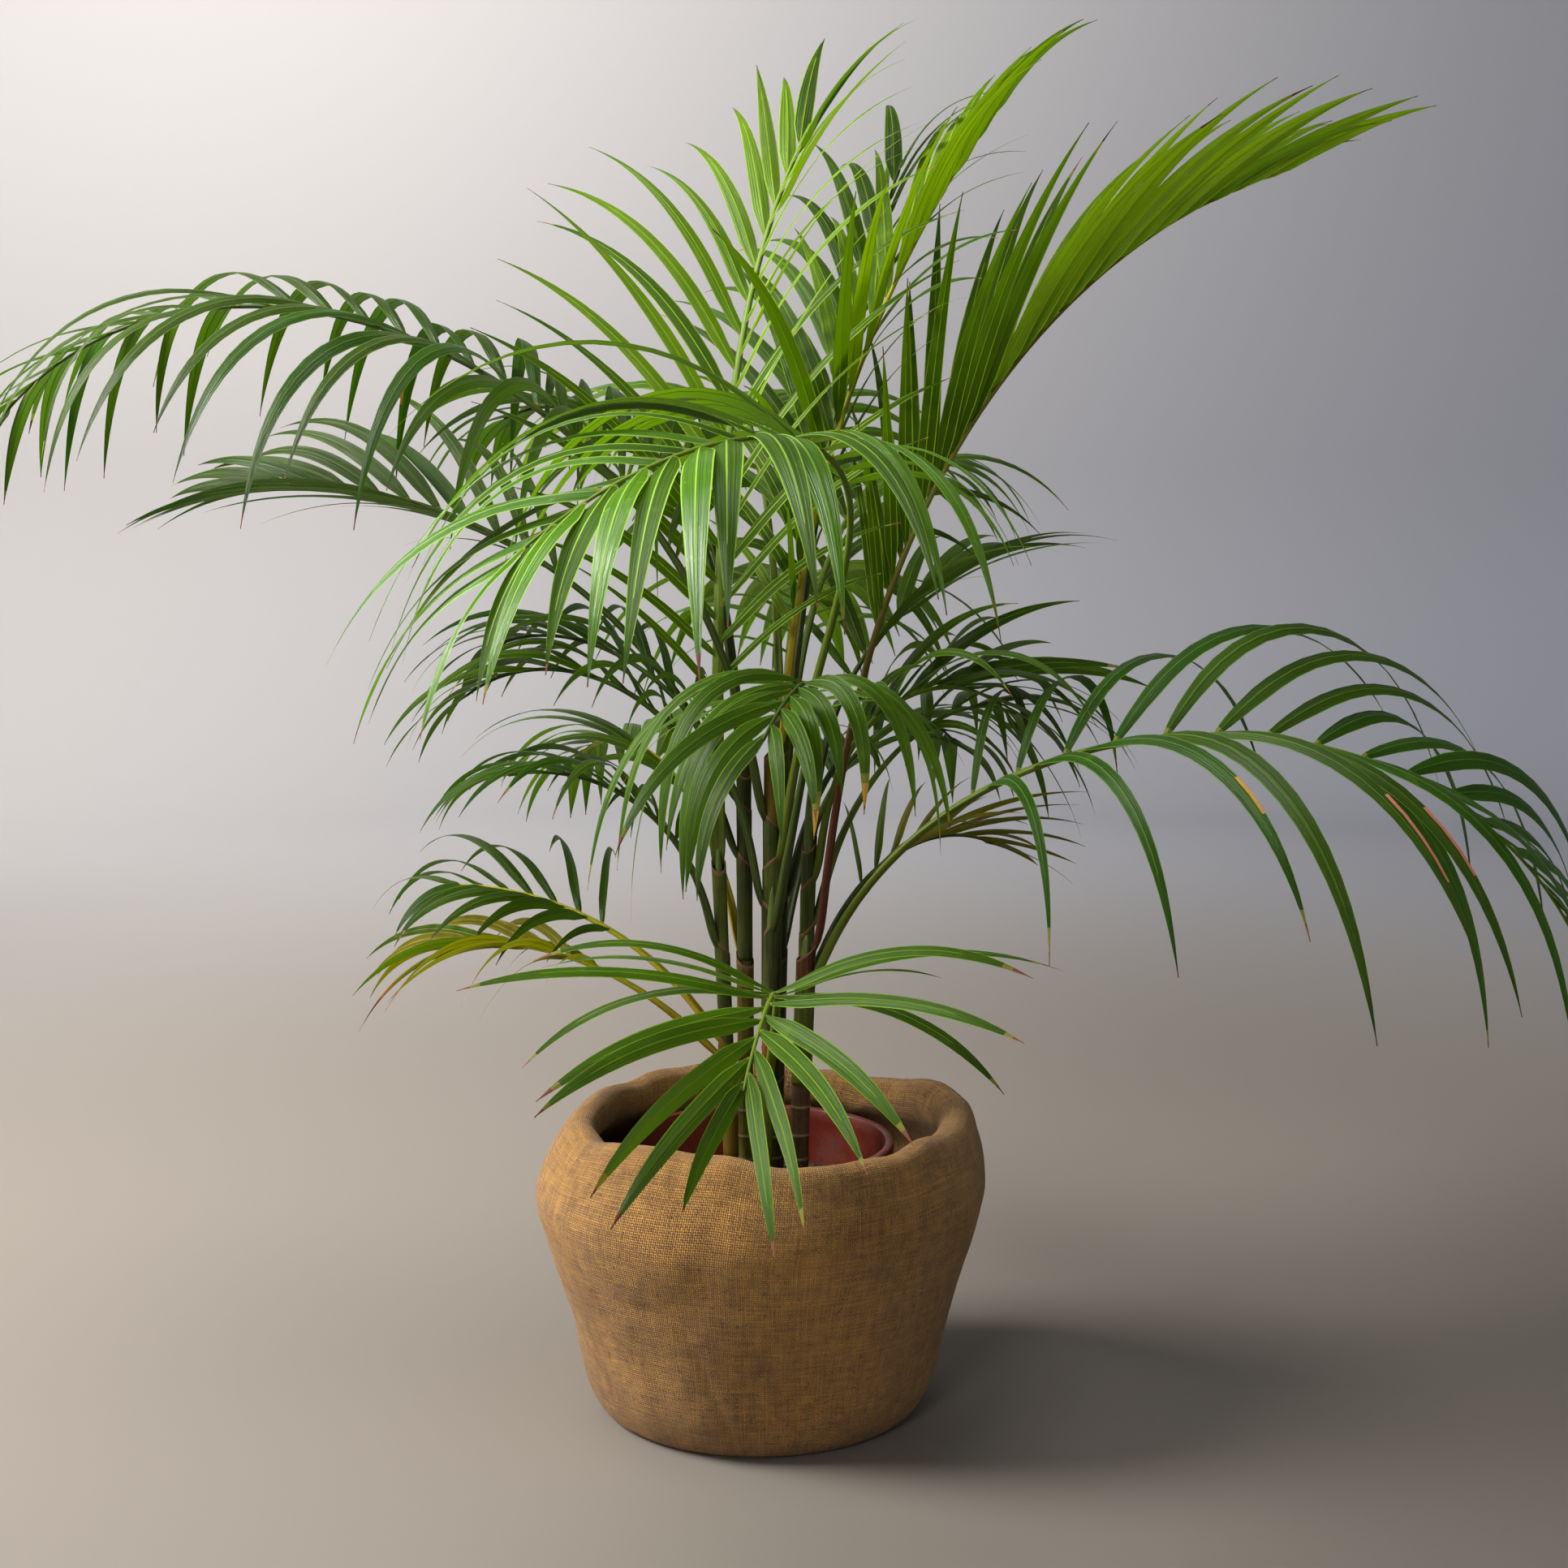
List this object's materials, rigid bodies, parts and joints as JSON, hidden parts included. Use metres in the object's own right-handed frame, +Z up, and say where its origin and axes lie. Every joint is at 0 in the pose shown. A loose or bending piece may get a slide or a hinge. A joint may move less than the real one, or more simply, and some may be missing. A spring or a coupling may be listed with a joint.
{
  "type": "potted areca palm",
  "caption": "Clumping feather palm with arching fronds on thin canes, in a nursery pot set in a soft jute cover.",
  "frame": {"origin": "middle of the jute cover's flat underside, where the plant stands", "axes": "+Z up, +X to the right and -Y to the front, seen from the side the palm is shown from"},
  "size_m": [1.5525, 1.2028, 1.2368],
  "materials": {
    "jute": "coarse woven jute, matt",
    "pot": "satin dark red-brown plastic",
    "soil": "crumbly moist potting mix",
    "cane": "smooth ringed cane, yellow-green to brown",
    "leaf": "thin leaf blade, softly glossy"
  },
  "bodies": {
    "root": {"jute_cover": "jute", "nursery_pot": "pot", "soil": "soil", "cane_left": "cane", "cane_main": "cane", "cane_woody": "cane", "cane_right": "cane", "cane_back_left": "cane", "cane_back": "cane", "cane_front": "cane", "frond_upper_left": "leaf", "frond_front_left": "leaf", "frond_right_big": "leaf", "frond_left_rear": "leaf", "frond_low_left": "leaf", "frond_low_left_small": "leaf", "frond_upright_left": "leaf", "frond_upright_middle": "leaf", "frond_upright_right": "leaf", "frond_low_front": "leaf", "frond_middle_front": "leaf", "frond_low_right_rear": "leaf", "frond_right_rear": "leaf", "frond_middle_left": "leaf", "frond_high_left_rear": "leaf", "frond_middle_right": "leaf", "frond_upright_rear": "leaf", "frond_back_high": "leaf", "frond_back_right_low": "leaf", "frond_back_left_low": "leaf", "frond_back_middle": "leaf", "frond_back_right_high": "leaf", "frond_back_left_high": "leaf", "frond_left_low_rear": "leaf", "frond_main_rear_left": "leaf", "frond_rear_right": "leaf", "frond_right_low": "leaf"}
  },
  "joints": []
}
